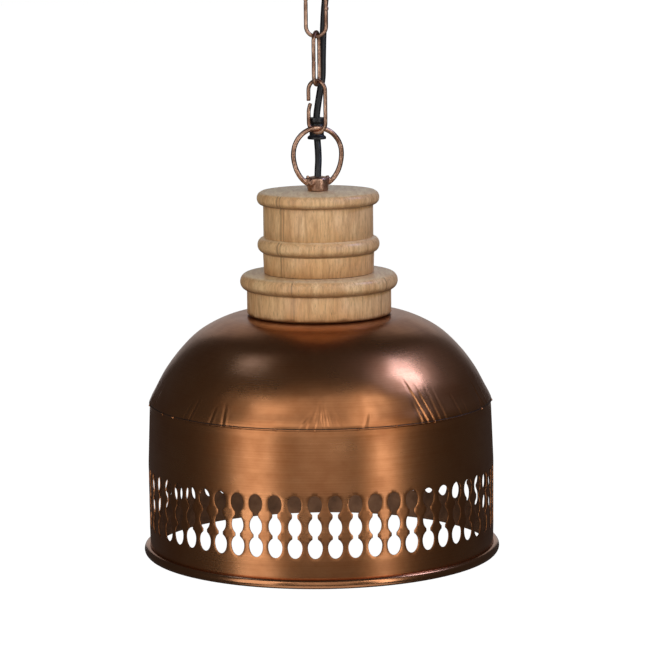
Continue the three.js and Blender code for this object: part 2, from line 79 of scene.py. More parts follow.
def placed(name, data):
    """A new object in the scene."""
    made = bpy.data.objects.new(name, data)
    bpy.context.scene.collection.objects.link(made)
    return made


def with_modifiers(piece):
    """The mesh that a piece's modifiers give."""
    return bpy.data.meshes.new_from_object(piece.evaluated_get(bpy.context.evaluated_depsgraph_get()))


# ---- Camera ----

CAMERA_AT_M = (0.003, -2.898, 0.047)
LOOKS_AT_M = (0.003, 0.0, -0.386)
SENSOR = 36
LENS = 167.4
ROLL = -0.65


def make_camera():
    """A long lens in front of the lantern, a little above it and slightly rolled, as the photo shows it."""
    data = bpy.data.cameras.new("camera")
    data.sensor_width = SENSOR
    data.lens = LENS
    camera = placed("camera", data)
    ahead = Vector(LOOKS_AT_M) - Vector(CAMERA_AT_M)
    camera.location = CAMERA_AT_M
    camera.rotation_mode = "QUATERNION"
    turn = Quaternion((0, 0, 1), math.radians(ROLL))
    camera.rotation_quaternion = ahead.to_track_quat("-Z", "Y") @ turn
    bpy.context.scene.camera = camera


# ---- Shapes ----


def close_up(mesh, weld=None):
    """Turns all faces outwards, and first welds the points that lie closer than a distance."""
    work = bmesh.new()
    work.from_mesh(mesh)
    if weld:
        bmesh.ops.remove_doubles(work, verts=work.verts, dist=weld)
    bmesh.ops.recalc_face_normals(work, faces=work.faces)
    work.to_mesh(mesh)
    work.free()


class Shape:
    """Points and faces of one piece, gathered from several closed bodies."""

    def __init__(self, points=(), faces=(), finishes=()):
        self.points = [tuple(p) for p in points]
        self.faces = list(faces)
        self.finishes = list(finishes)

    def add(self, body, finish=0):
        """Takes in one closed body, all of it in one finish."""
        points, faces = body
        start = len(self.points)
        self.points += [tuple(p) for p in points]
        self.faces += [[start + i for i in face] for face in faces]
        self.finishes += [finish] * len(faces)
        return self

    def object(self, name, *materials, sharp=38):
        """The Blender object, smooth but for edges sharper than that many degrees."""
        mesh = bpy.data.meshes.new(name)
        mesh.from_pydata([(x * MM, y * MM, z * MM) for x, y, z in self.points], [], self.faces)
        mesh.polygons.foreach_set("material_index", self.finishes)
        for material in materials:
            mesh.materials.append(material)
        close_up(mesh)
        mesh.polygons.foreach_set("use_smooth", [True] * len(mesh.polygons))
        mesh.set_sharp_from_angle(angle=math.radians(sharp))
        return placed(name, mesh)


def solid(body, name, *materials, sharp=38):
    """A piece made of a single closed body."""
    return Shape().add(body).object(name, *materials, sharp=sharp)


def settle(piece, body, slot, *nodes):
    """The piece rides on a body and stands for its CAD nodes; the slot argument is not used."""
    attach(piece, body)
    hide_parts(*nodes)


def turned(profile, segments, at=(0, 0), warp=None):
    """A closed [radius, height] profile turned about Z. warp(radius, angle, height) gives a new radius."""
    points, rings = [], []
    for r, z in profile:
        if r < ON_AXIS:
            rings.append([len(points)] * segments)
            points.append((at[0], at[1], z))
            continue
        rings.append(list(range(len(points), len(points) + segments)))
        for i in range(segments):
            a = TAU * i / segments
            reach = warp(r, a, z) if warp else r
            points.append((at[0] + reach * math.cos(a), at[1] + reach * math.sin(a), z))
    faces = []
    for one, two in zip(rings, rings[1:] + rings[:1]):
        for i in range(segments):
            j = (i + 1) % segments
            face = list(dict.fromkeys([one[i], one[j], two[j], two[i]]))
            if len(face) > 2:
                faces.append(face)
    return points, faces


def soften(profile, radius, steps=3):
    """Rounds the corners of a closed profile, apart from those on the axis."""
    rounded = []
    for i, (r, z) in enumerate(profile):
        here = np.array([r, z], float)
        before = np.array(profile[i - 1], float) - here
        after = np.array(profile[(i + 1) % len(profile)], float) - here
        lengths = np.linalg.norm(before), np.linalg.norm(after)
        straight = before @ after / (lengths[0] * lengths[1] + 1e-9) < -0.97
        if r < ON_AXIS or straight:
            rounded.append((r, z))
            continue
        cut = min(radius, 0.45 * lengths[0], 0.45 * lengths[1])
        start = here + before / lengths[0] * cut
        end = here + after / lengths[1] * cut
        for k in range(steps + 1):
            t = k / steps
            rounded.append(tuple((1 - t) ** 2 * start + 2 * t * (1 - t) * here + t * t * end))
    return rounded


def arc(r, z, across, up, start, end, steps):
    """Points on an elliptical arc in the [radius, height] plane."""
    angles = [math.radians(start + (end - start) * i / steps) for i in range(steps + 1)]
    return [(r + across * math.cos(a), z + up * math.sin(a)) for a in angles]


# The knots that each step of the Barry and Goldman pyramid runs between.
PYRAMID = [[(0, 1), (1, 2), (2, 3)], [(0, 2), (1, 3)], [(1, 2)]]


def on_line(a, b, start, end, t):
    """The value at t on the straight line through a at start and b at end."""
    return ((end - t) * a + (t - start) * b) / (end - start)


def smooth_line(points, step):
    """A centripetal Catmull-Rom line through the points, with a point about every step.

    Also gives the index in the line at which each of the points lies.
    """
    p = [np.array(q, float) for q in points]
    p = [2 * p[0] - p[1], *p, 2 * p[-1] - p[-2]]
    line, stops = [], []
    for i in range(1, len(p) - 2):
        stops.append(len(line))
        knots = [0.0]
        for a, b in zip(p[i - 1 : i + 2], p[i : i + 3]):
            knots.append(knots[-1] + math.sqrt(np.linalg.norm(b - a)))
        count = max(2, round(np.linalg.norm(p[i + 1] - p[i]) / step))
        for k in range(count):
            t = knots[1] + (knots[2] - knots[1]) * k / count
            level = p[i - 1 : i + 3]
            for spans in PYRAMID:
                level = [
                    on_line(a, b, knots[first], knots[last], t)
                    for (first, last), a, b in zip(spans, level, level[1:])
                ]
            line.append(level[0])
    stops.append(len(line))
    line.append(p[-2])
    return np.array(line), stops


def swept(line, radius, sides):
    """A round bar along a line. radius(share, angle) gives its radius at each point."""
    line = np.array(line, float)
    along = np.gradient(line, axis=0)
    along /= np.linalg.norm(along, axis=1)[:, None]
    side = np.cross(along[0], (0.3, 0.2, 0.93) if abs(along[0][2]) < 0.9 else (1.0, 0, 0))
    points = []
    for i, (centre, ahead) in enumerate(zip(line, along)):
        side = side - (side @ ahead) * ahead
        side /= np.linalg.norm(side)
        other = np.cross(ahead, side)
        for k in range(sides):
            a = TAU * k / sides
            reach = radius(i / (len(line) - 1), a)
            points.append(centre + reach * (math.cos(a) * side + math.sin(a) * other))
    faces = []
    last = (len(line) - 1) * sides
    for one in range(0, last, sides):
        two = one + sides
        for k in range(sides):
            n = (k + 1) % sides
            faces.append([one + k, one + n, two + n, two + k])
    return points, [*faces, list(range(sides))[::-1], [last + k for k in range(sides)]]


def blob(centre, reach, seed, lumpy, segments=20):
    """A lump of solder or braze: an uneven ellipsoid."""
    profile = arc(0, 0, 1, 1, -90, 90, 10)
    profile[0], profile[-1] = (0, -1), (0, 1)
    points, faces = turned(profile, segments)
    moved = []
    for p in points:
        swell = 1 + lumpy * noise.noise(Vector(p) * 1.7 + Vector((seed, seed * 2, 0)))
        moved.append([centre[k] + p[k] * reach[k] * swell for k in range(3)])
    return moved, faces


def round_place(angle, radius, z):
    """A point at an angle from the front, in degrees, growing to the right."""
    a = math.radians(angle)
    return np.array([radius * math.sin(a), -radius * math.cos(a), z])


# ---- Flex ----

CABLE = 6.7
ROUTE_M = [
    (0, 0, -0.2435), (0.0003, 0.0013, -0.236), (0.0008, 0.005, -0.2273), (0.0006, 0.0096, -0.218),
    (0.0001, 0.0128, -0.2105), (-0.0003, 0.0142, -0.203), (-0.0005, 0.0145, -0.1956),
    (-0.0005, 0.0146, -0.186), (0.0009, 0.0152, -0.17485), (0.0034, 0.0158, -0.160),
    (0.0054, 0.016, -0.148), (0.006, 0.0162, -0.12845), (0.0066, 0.0164, -0.110),
    (0.0073, 0.0166, -0.096), (0.0082, 0.0168, -0.08205), (0.0096, 0.0171, -0.068),
    (0.0108, 0.0174, -0.052), (0.011, 0.0175, -0.040), (0.011, 0.0175, -0.029), (0.011, 0.0175, -0.0183),
]
GRIP_POINT = 6
GRIP_RIBS = [-6.2, -4.2, -2.2, -0.2, 1.8]  # height of each rib from the grip's middle
# Name, first and last route point, the two bodies it joins, and where its bend starts and ends.
STRETCHES = [
    ("cable_lower", 0, 8, "lamp", "link_1", -0.241, -0.2085),
    ("cable_mid_lower", 8, 11, "link_1", "link_2", -0.166, -0.134),
    ("cable_mid_upper", 11, 14, "link_2", "link_3", -0.120, -0.088),
    ("cable_upper", 14, 19, "link_3", "fitting", -0.073, -0.041),
]


def make_grip(black):
    """A moulded spool with a flange at each end and shallow ribs between them."""
    x, y, middle = (v / MM for v in ROUTE_M[GRIP_POINT])
    bore = CABLE / 2 + 0.25
    waist, ribs = 7.0, []
    for z in GRIP_RIBS:
        ribs += [(waist, z - 0.5), (waist + 0.35, z), (waist, z + 0.5)]
    profile = [(bore + 1.4, -12), (9.1, -12), (9.1, -9.6), (waist, -8), *ribs, (waist, 3.6), (8.4, 4.8)]
    profile += [(8.4, 9), (bore + 0.3, 9), (bore + 0.2, -5)]
    profile = [(r, middle + z) for r, z in soften(profile, 0.5, 2)]
    grip = solid(turned(profile, 48, (x, y)), "cord_grip_spool", black)
    settle(grip, "link_1", "moulded_black", "cord_grip")
    return grip


def make_flex(jacket, grip):
    """The flex in four stretches, each running across one contact of the chain."""
    line, stops = smooth_line([[v / MM for v in p] for p in ROUTE_M], 1.4)
    for name, first, last, below, above, start_m, end_m in STRETCHES:
        stretch = line[stops[first] : stops[last] + 1]
        tube = swept(stretch, lambda share, a: CABLE / 2 + 0.04 * math.cos(7 * a), 28)
        piece = solid(tube, f"{name}_flex", jacket)
        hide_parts(name)
        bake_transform(piece)


# ---- Materials ----


class Finish:
    """A procedural material: one Principled shader, fed by noise in the object's own coordinates."""

    def __init__(self, name, color, roughness, **fixed):
        self.material = bpy.data.materials.new(name)
        self.material.use_nodes = True
        self.tree = self.material.node_tree
        self.shader = self.tree.nodes["Principled BSDF"]
        self.shader.inputs["Base Color"].default_value = (*color, 1)
        self.shader.inputs["Roughness"].default_value = roughness
        for socket, value in fixed.items():
            self.shader.inputs[socket.replace("_", " ").title()].default_value = value
        self.coordinates = self.node("ShaderNodeTexCoord")
        self.place = self.coordinates.outputs["Object"]

    def node(self, kind, inputs=None, **settings):
        made = self.tree.nodes.new(kind)
        for key, value in settings.items():
            setattr(made, key, value)
        for key, value in (inputs or {}).items():
            if isinstance(value, bpy.types.NodeSocket):
                self.tree.links.new(value, made.inputs[key])
            else:
                made.inputs[key].default_value = value
        return made

    def math(self, operation, one, two=0.0):
        return self.node("ShaderNodeMath", {0: one, 1: two}, operation=operation).outputs[0]

    def noise(self, place, detail, roughness=0.55, distortion=0.0):
        """Noise at a scale along each axis, or at coordinates from another node."""
        if isinstance(place, tuple):
            scale = {0: self.place, 1: place}
            place = self.node("ShaderNodeVectorMath", scale, operation="MULTIPLY").outputs[0]
        inputs = {
            "Vector": place, "Scale": 1.0, "Detail": detail,
            "Roughness": roughness, "Distortion": distortion,
        }
        return self.node("ShaderNodeTexNoise", inputs).outputs["Fac"]

    def ranged(self, value, low_in, high_in, low_out=0.0, high_out=1.0):
        inputs = {0: value, 1: low_in, 2: high_in, 3: low_out, 4: high_out}
        return self.node("ShaderNodeMapRange", inputs, clamp=True).outputs[0]

    def mix(self, share, one, two):
        one, two = (v if isinstance(v, bpy.types.NodeSocket) else (*v, 1) for v in (one, two))
        return self.node("ShaderNodeMix", {0: share, 6: one, 7: two}, data_type="RGBA").outputs[2]

    def feed(self, socket, value):
        self.tree.links.new(value, self.shader.inputs[socket])

    def bump(self, height, distance, strength, under=None):
        inputs = {"Height": height, "Distance": distance, "Strength": strength}
        if under is not None:
            inputs["Normal"] = under
        return self.node("ShaderNodeBump", inputs).outputs["Normal"]

    def brushing(self, along, across):
        """Coordinates that are stretched round the axis, so noise becomes turning or brushing lines."""
        apart = self.node("ShaderNodeSeparateXYZ", {0: self.place})
        x, y, z = apart.outputs
        radius = self.math("SQRT", self.math("ADD", self.math("MULTIPLY", x, x), self.math("MULTIPLY", y, y)))
        level = self.math("MULTIPLY", self.math("SUBTRACT", radius, z), across)
        inputs = {0: self.math("MULTIPLY", x, along), 1: self.math("MULTIPLY", y, along), 2: level}
        return self.node("ShaderNodeCombineXYZ", inputs).outputs[0]


def brushed_copper(name, dark, light, roughness, anisotropy):
    """Antique copper: fine turning lines, cloudy toning and a few dull spots."""
    made = Finish(
        name, light, roughness, metallic=1.0, anisotropic=anisotropy, coat_weight=0.12, coat_roughness=0.2
    )
    made.feed("Tangent", made.node("ShaderNodeTangent", direction_type="RADIAL", axis="Z").outputs[0])
    lines = made.noise(made.brushing(9, 1300), 3, 0.6)
    clouds = made.noise((16, 16, 20), 5, 0.6)
    spots = made.noise((140, 140, 140), 3, 0.6)
    tone = made.math("ADD", made.math("MULTIPLY", lines, 0.25), made.math("MULTIPLY", clouds, 0.75))
    color = made.mix(made.ranged(tone, 0.34, 0.64), dark, light)
    worn = made.mix(made.ranged(spots, 0.7, 0.82, 0, 0.25), color, tuple(c * 0.45 for c in dark))
    made.feed("Base Color", worn)
    made.feed("Roughness", made.ranged(tone, 0.3, 0.7, roughness + 0.07, roughness - 0.05))
    made.feed("Normal", made.bump(lines, 0.00004, 0.25, made.bump(clouds, 0.0006, 0.25)))
    return made.material


def cast_copper(name):
    """Plated wire with a slightly pitted surface, browner in its hollows."""
    made = Finish(name, (0.42, 0.23, 0.15), 0.36, metallic=1.0)
    pits = made.noise((420, 420, 420), 5, 0.65)
    clouds = made.noise((90, 90, 90), 4)
    color = made.mix(made.ranged(clouds, 0.35, 0.65), (0.26, 0.135, 0.085), (0.68, 0.42, 0.29))
    made.feed("Base Color", made.mix(made.ranged(pits, 0.5, 0.75, 0, 0.6), color, (0.07, 0.035, 0.025)))
    made.feed("Roughness", made.ranged(pits, 0.3, 0.7, 0.24, 0.46))
    made.feed("Normal", made.bump(pits, 0.00025, 0.6))
    return made.material


def turned_wood(name, streaks, darker_foot_mm=None):
    """Pale hardwood with upright fibres, dark pores, end grain on top made paler partly as painted top light,
    faces turned down darkened as painted shade, and perhaps a darker foot.
    """
    made = Finish(name, (0.6, 0.36, 0.19), 0.5, coat_weight=0.25, coat_roughness=0.22)
    figure = made.noise((36, 36, 17), 5, 0.6, 0.8)
    fibres = made.noise((430, 430, 62), 6, 0.7, 0.3)
    pores = made.noise((1300, 1300, 110), 3, 0.6)
    rays = made.noise((170, 170, 30), 5, 0.65)
    color = made.mix(made.ranged(figure, 0.3, 0.7), (0.83, 0.45, 0.185), (1.0, 0.67, 0.34))
    color = made.mix(made.ranged(rays, 0.48, 0.7, 0, 0.6), color, (0.55, 0.27, 0.11))
    color = made.mix(made.ranged(fibres, 0.44, 0.68, 0, 0.65), color, (0.48, 0.235, 0.095))
    color = made.mix(made.ranged(pores, 0.62, 0.72, 0, 0.65), color, (0.15, 0.065, 0.025))
    apart = made.node("ShaderNodeSeparateXYZ", {0: made.place})
    angle = made.math("ARCTAN2", apart.outputs[0], made.math("MULTIPLY", apart.outputs[1], -1.0))
    for where, width in streaks:
        off = made.math("ABSOLUTE", made.math("SUBTRACT", angle, math.radians(where)))
        wavy = made.math("ADD", off, made.math("MULTIPLY", made.math("SUBTRACT", rays, 0.5), 0.03))
        share = made.ranged(wavy, 0, math.radians(width), 0.62, 0)
        color = made.mix(share, color, (0.19, 0.08, 0.03))
    # Darker towards the foot of the base, in a ragged reddish-brown band just above its bottom.
    if darker_foot_mm is not None:
        height = made.math("SUBTRACT", apart.outputs[2], darker_foot_mm * MM)
        reach = made.math("MULTIPLY", made.noise((60, 60, 10), 4, 0.65), 0.0075)
        share = made.ranged(made.math("SUBTRACT", height, reach), -0.0022, 0.0004, 0.88, 0)
        color = made.mix(share, color, (0.2, 0.062, 0.014))
    up = made.node("ShaderNodeSeparateXYZ", {0: made.coordinates.outputs["Normal"]}).outputs[2]
    # Faces turned up take end grain: its own greyer grain, with painted top light in it that makes them paler
    # than the wood, as if lit from above.
    ends = made.noise((230, 34, 230), 5, 0.6, 0.5)
    end_grain_and_top_light = made.mix(made.ranged(ends, 0.35, 0.68), (0.78, 0.5, 0.25), (1.0, 0.76, 0.43))
    # Painted shade: faces that turn down, under the flanges and the bead, are darkened towards dark brown.
    color = made.mix(made.ranged(up, -0.15, -0.8, 0, 0.75), color, (0.17, 0.08, 0.03))
    made.feed("Base Color", made.mix(made.ranged(up, 0.75, 0.97), color, end_grain_and_top_light))
    made.feed("Roughness", made.ranged(fibres, 0.35, 0.7, 0.42, 0.62))
    made.feed("Normal", made.bump(pores, 0.0002, 0.35, made.bump(fibres, 0.00025, 0.5)))
    return made.material


def plain(name, color, roughness, grain=500, depth=0.00005, spread=0.12, **fixed):
    """Plastic, plated steel, brass, porcelain or paint, with fine mottling and a little texture."""
    made = Finish(name, color, roughness, **fixed)
    fine = made.noise((grain, grain, grain), 4)
    cloudy = made.noise((60, 60, 60), 3)
    darker = tuple(c * (1 - 2 * spread) for c in color)
    lighter = tuple(min(1.0, c * (1 + spread)) for c in color)
    made.feed("Base Color", made.mix(made.ranged(cloudy, 0.3, 0.7), darker, lighter))
    made.feed("Roughness", made.ranged(fine, 0.3, 0.7, roughness - 0.06, roughness + 0.1))
    made.feed("Normal", made.bump(fine, depth, 0.5))
    return made.material


def clear_glass(name):
    """Thin blown glass with faint waves."""
    made = Finish(name, (0.97, 0.97, 0.96), 0.02, transmission_weight=1.0)
    made.shader.inputs["IOR"].default_value = 1.45
    waves = made.noise((45, 45, 45), 2)
    made.feed("Normal", made.bump(waves, 0.0003, 0.1))
    return made.material


def make_materials():
    """Every material of the lantern, by name."""
    return {
        "shade_copper": brushed_copper(
            "shade_copper", (0.322, 0.113, 0.037), (0.522, 0.226, 0.094), 0.29, 0.35
        ),
        "inside_copper": plain("inside_copper", (0.3, 0.15, 0.08), 0.55, 300, 0.0001, 0.2, metallic=0.7),
        "seam_grime": plain("seam_grime", (0.055, 0.026, 0.015), 0.5, 300, 0.0001, 0.2, metallic=0.6),
        "rim_copper": brushed_copper("rim_copper", (0.313, 0.126, 0.052), (0.522, 0.235, 0.109), 0.22, 0.0),
        "chain_copper": cast_copper("chain_copper"),
        "wood_cap": turned_wood("wood_cap", [(-42, 1.6), (-38.5, 0.9)]),
        "wood_base": turned_wood("wood_base", [(58, 1.3), (-20, 0.8)], low("wood_base").z),
        "flex_black": plain("flex_black", (0.013, 0.013, 0.014), 0.4, 800),
        "moulded_black": plain("moulded_black", (0.016, 0.016, 0.017), 0.38, 900),
        "steel": plain("steel", (0.55, 0.55, 0.54), 0.34, 700, metallic=1.0),
        "brass": plain("brass", (0.6, 0.42, 0.17), 0.3, 700, metallic=1.0),
        "ceramic": plain("ceramic", (0.82, 0.79, 0.72), 0.45, 400, spread=0.04),
        "clear_glass": clear_glass("clear_glass"),
        "filament": plain("filament", (0.75, 0.5, 0.13), 0.5, 900),
        "core_brown": plain("core_brown", (0.14, 0.06, 0.03), 0.45),
        "core_blue": plain("core_blue", (0.03, 0.13, 0.42), 0.45),
        "core_green": plain("core_green", (0.22, 0.4, 0.05), 0.45),
    }


# ---- Turned wood ----

WOOD_BORE = 5.6
NECK = 53.5
BASE_RADIUS = 70.4
BEAD = {"middle": 51.8, "half": 7.2, "radius": 59.5}
TOP_FLANGE = 12.8
FLANGE = 15.7  # height of the lower flange


def make_wood(finish):
    """The two turnings, with the small grooves that part their beads and flanges."""
    top, foot, bottom = high("wood_cap").z, low("wood_cap").z, low("wood_base").z
    bead = arc(NECK, top - BEAD["middle"], BEAD["radius"] - NECK, BEAD["half"], -90, 90, 20)
    cap = [(WOOD_BORE, foot), (NECK - 0.4, foot), (NECK, foot + 0.4)]
    cap += [(NECK + 0.7, bead[0][1] - 0.9), (NECK - 0.5, bead[0][1] - 0.2), *bead]
    cap += [(NECK - 0.5, bead[-1][1] + 0.3), (NECK, bead[-1][1] + 1)]
    cap += [(NECK, top - TOP_FLANGE - 0.8), (NECK - 0.5, top - TOP_FLANGE)]
    cap += arc(54.6, top - 6.4, 5.0, 6.3, -82, 62, 18)
    cap += [(high("wood_cap").x - 4.2, top), (WOOD_BORE, top)]
    piece = solid(turned(cap, 180), "wood_cap_turning", finish["wood_cap"], sharp=60)
    settle(piece, "lamp", "wood", "wood_cap")

    shoulder = high("wood_base").z
    outer = high("wood_base").x
    base = [(WOOD_BORE, bottom), (BASE_RADIUS - 2.6, bottom), (BASE_RADIUS - 1.0, bottom + 0.7)]
    base += [(BASE_RADIUS, bottom + 2.2), (BASE_RADIUS, shoulder - FLANGE - 0.9)]
    base += [(BASE_RADIUS - 0.6, shoulder - FLANGE)]
    base += arc(outer - 7, shoulder - FLANGE / 2, 7, FLANGE / 2, -84, 76, 20)
    base += [(outer - 8.5, shoulder), (WOOD_BORE, shoulder)]
    piece = solid(turned(base, 200), "wood_base_turning", finish["wood_base"], sharp=60)
    settle(piece, "lamp", "wood", "wood_base")


# ---- Dome ----

DOME_OUTLINE = [
    (70.5, 0), (86, 1.4), (105.5, 9.1), (122, 19.6), (139, 36.8),
    (152, 54.4), (161.5, 71.6), (166.4, 81.3), (167.5, 85.8),
]
# The rolled lip at the seam and the dirty groove above it: distance out, height.
SEAM_LIP = [(-0.4, 0), (0.1, 0.25), (0.3, 0.8), (0.1, 1.4), (-0.4, 1.8), (-0.6, 2.2), (-0.35, 2.9)]
DOME_SEGMENTS = 960
# Creases above the seam: angle, width, height reached, depth, and lean in degrees.
FRONT_CREASES = [
    (-51, 1.4, 20, 0.45, 2), (-48, 1.2, 25, 0.6, 2), (-38.5, 1.5, 18, 0.4, 1), (-33, 1.6, 22, 0.4, -1),
    (-8, 1.2, 17, 0.45, 5), (-5.2, 1.3, 21, 0.6, 3), (-2.2, 1.2, 25, 0.7, 2), (1.2, 1.1, 27, 0.7, -1),
    (3.6, 1.2, 24, 0.6, -2), (7, 1.5, 20, 0.45, -3), (14, 1.6, 16, 0.35, 2), (34.5, 1.7, 34, 0.45, -2),
    (37, 1.4, 42, 0.75, -5), (39.6, 1.3, 38, 0.7, -4), (42, 1.5, 34, 0.55, -2), (45, 1.4, 32, 0.5, -2),
    (53, 1.4, 24, 0.55, -2), (57, 1.3, 18, 0.4, -1),
]
# Angles of the solder tacks on the seam.
FRONT_TACKS = [-57, -29.4, -27, -14.8, -1.9, 12.1, 25.2, 40]
BACK_TACKS = [68 + 17.5 * k for k in range(14)]
CREASED = 50  # no crease reaches this far above the seam
CREASE_RADIUS = 160  # turns a crease's angle into a distance along the wall
FINE_ROWS = 46  # height above the seam up to which the rows lie close together
DENTED = (1.5, 84.5)  # heights above the seam between which the wall is uneven
DENTED_PAST = 75  # and the radius from which it is


@lru_cache(maxsize=None)
def all_creases():
    """The front's creases, and others like them round the sides and back."""
    spread = random.Random(7)
    creases = list(FRONT_CREASES)
    angle = 68.0
    while angle < 296:
        for _ in range(spread.randint(1, 4)):
            depth, reach = spread.uniform(0.3, 0.6), spread.uniform(16, 36)
            creases.append((angle, spread.uniform(1.2, 1.7), reach, depth, spread.uniform(-3, 3)))
            angle += spread.uniform(2.5, 4.5)
        angle += spread.uniform(9, 22)
    return creases


def crease_depths(angles, height):
    """How far out each angle of the dome's wall stands at one height above the seam, below 0 in a crease."""
    depth = np.zeros(len(angles))
    for where, width, reach, deep, lean in all_creases():
        if height > reach:
            continue
        fade = (1 - (height / reach) ** 2) * min(1.0, 0.35 + height / 8)
        off = (angles - where - lean * height / reach + 180) % 360 - 180
        off = np.radians(off) * CREASE_RADIUS
        pressed = np.exp(-((off / width) ** 2))
        raised = 0.55 * np.exp(-(((off - 1.7 * width) / width) ** 2))
        depth += fade * deep * (raised - pressed)
    return depth


def unevenness(angle, level):
    """Slow dents left by hand work, larger near the seam."""
    x, y, z = round_place(angle, 1.0, level / 55)
    slow = noise.noise(Vector((x * 3.2, y * 3.2, z * 1.6 + 3.1)))
    quick = noise.noise(Vector((x * 9.5, y * 9.5, z * 4.2 + 9.4)))
    near_seam = max(0.0, 1 - level / 60)
    return 0.45 * slow + 0.22 * quick * (0.25 + near_seam)


def dome_rows():
    """The outside of the dome from its seam up, as [radius, height], closer together near the seam."""
    top = high("shade_dome").z
    line, _ = smooth_line([(r, top - drop, 0) for r, drop in DOME_OUTLINE], 1.15)
    seam = low("shade_dome").z
    rows = [(r, z) for r, z, _ in line[::-1]]
    lip = [(rows[0][0] + out, seam + up) for out, up in SEAM_LIP]
    close = lip + [row for row in rows if seam + 3.4 < row[1] < seam + FINE_ROWS]
    rest = [row for row in rows if row[1] >= seam + FINE_ROWS]
    flat = [(r, top) for r in (62, 50, 36, 22, 12, 5.2)]
    return [*close, *rest[::3], *flat]


def make_dome(finish):
    """The dome as one closed sheet, with its creases, its lip at the seam and the tacks on that."""
    seam = low("shade_dome").z
    outside = dome_rows()
    angles = np.arange(DOME_SEGMENTS) * 360 / DOME_SEGMENTS
    points, faces, finishes = [], [], []

    def ring(radius, z):
        level = z - seam
        creased = crease_depths(angles, level) if level < CREASED else np.zeros(len(angles))
        dented = DENTED[0] < level < DENTED[1] and radius > DENTED_PAST
        for angle, crease in zip(angles, creased):
            slow = unevenness(angle, level) if dented else 0.0
            points.append(round_place(angle, radius + (crease + slow), z))

    inside = [(r - SHEET, z - SHEET * 0.6) if z < seam + 70 else (r, z - SHEET) for r, z in outside[::-1]]
    inside = inside[::2] + [(outside[0][0] - SHEET, seam)]
    inside = [(max(r, 5.2), max(z, seam)) for r, z in inside]
    for r, z in outside + inside:
        ring(r, z)
    rings = len(outside) + len(inside)
    for i in range(rings):
        one, two = i * DOME_SEGMENTS, ((i + 1) % rings) * DOME_SEGMENTS
        inner = len(outside) <= i < rings - 1
        for k in range(DOME_SEGMENTS):
            n = (k + 1) % DOME_SEGMENTS
            faces.append([one + k, one + n, two + n, two + k])
            finishes.append(1 if inner else 2 if i in (3, 4, rings - 1) else 0)
    shape = Shape(points, faces, finishes)
    for k, angle in enumerate(FRONT_TACKS + BACK_TACKS):
        centre = round_place(angle, outside[2][0] - 0.6, seam + 0.9)
        shape.add(blob(centre, (1.5, 1.5, 1.2), k, 0.35, 14))
    piece = shape.object(
        "copper_dome", finish["shade_copper"], finish["inside_copper"], finish["seam_grime"], sharp=50
    )
    settle(piece, "lamp", "shade_copper", "shade_dome")


# ---- Pierced band ----

SLOTS = 56
FIRST_SLOT = -2.06  # the slot nearest the front, in degrees from it
COLUMNS = 6
PANEL_ROWS = 44
BAND_RADIUS = 169.3
BEAD_RADIUS = 4.7
SLOT_ABOVE_RIM = 23.7
NECK_HALF = 2.4
EDGE_EASE = 0.45  # width of the rounding at a slot's edge
BAND_SHARP = 42  # edges sharper than this many degrees stay sharp
# Each lobe of a slot: half width, height of its middle, and its reach below and above that.
LOBES = [(6.9, 10.3, 10.3, 8.2), (6.2, 29.6, 8.3, 8.6), (6.7, 51.2, 9.4, 8.5)]


def slot_half_width(z):
    """Half the slot's width at a height above its foot: three lobes that flow into narrow necks."""
    between = LOBES[0][1] <= z <= LOBES[-1][1]
    total = NECK_HALF**3 if between else 0.0
    for half, middle, below, above in LOBES:
        share = (z - middle) / (above if z > middle else below)
        if abs(share) < 1:
            full = (half**3 - NECK_HALF**3) ** (1 / 3) if between else half
            total += (full * math.sqrt(1 - share * share)) ** 3
    return total ** (1 / 3)


def slot_outline():
    """The slot's outline, anticlockwise from its foot, about its own centre line."""
    first, last = LOBES[0], LOBES[-1]
    heights = [first[1] - first[2] * math.cos(math.radians(a)) for a in range(15, 90, 15)]
    heights += list(np.arange(first[1], last[1], 1.36))
    heights += [last[1] + last[3] * math.sin(math.radians(a)) for a in range(0, 90, 15)]
    right = [(slot_half_width(z), z) for z in heights]
    tip = last[1] + last[3]
    return [(0, 0), *right, (0, tip), *[(-x, z) for x, z in right[::-1]]]


def grown(outline, by):
    """The outline moved outwards by a distance."""
    points = np.array(outline)
    along = np.roll(points, -1, 0) - np.roll(points, 1, 0)
    along /= np.linalg.norm(along, axis=1)[:, None]
    return points + by * np.stack([along[:, 1], -along[:, 0]], 1)


def inside_outline(point, outline):
    """Whether a point lies inside, by counting the sides that a line to its right crosses."""
    x, z = point
    count = 0
    for (x1, z1), (x2, z2) in zip(outline, np.roll(outline, -1, 0)):
        if (z1 > z) != (z2 > z) and x < x1 + (x2 - x1) * (z - z1) / (z2 - z1):
            count += 1
    return count % 2 == 1


def band_radius(z):
    """The band's outside: it swells from the seam to its middle and draws in a little at the rim."""
    seam = low("shade_dome").z
    drops = [-4, 0.4, 1.4, 31, 59, 123.5, 140]
    return float(np.interp(seam - z, drops, [165, 166, 167.1, 168.3, 169.4, 169.2, 168.8]))


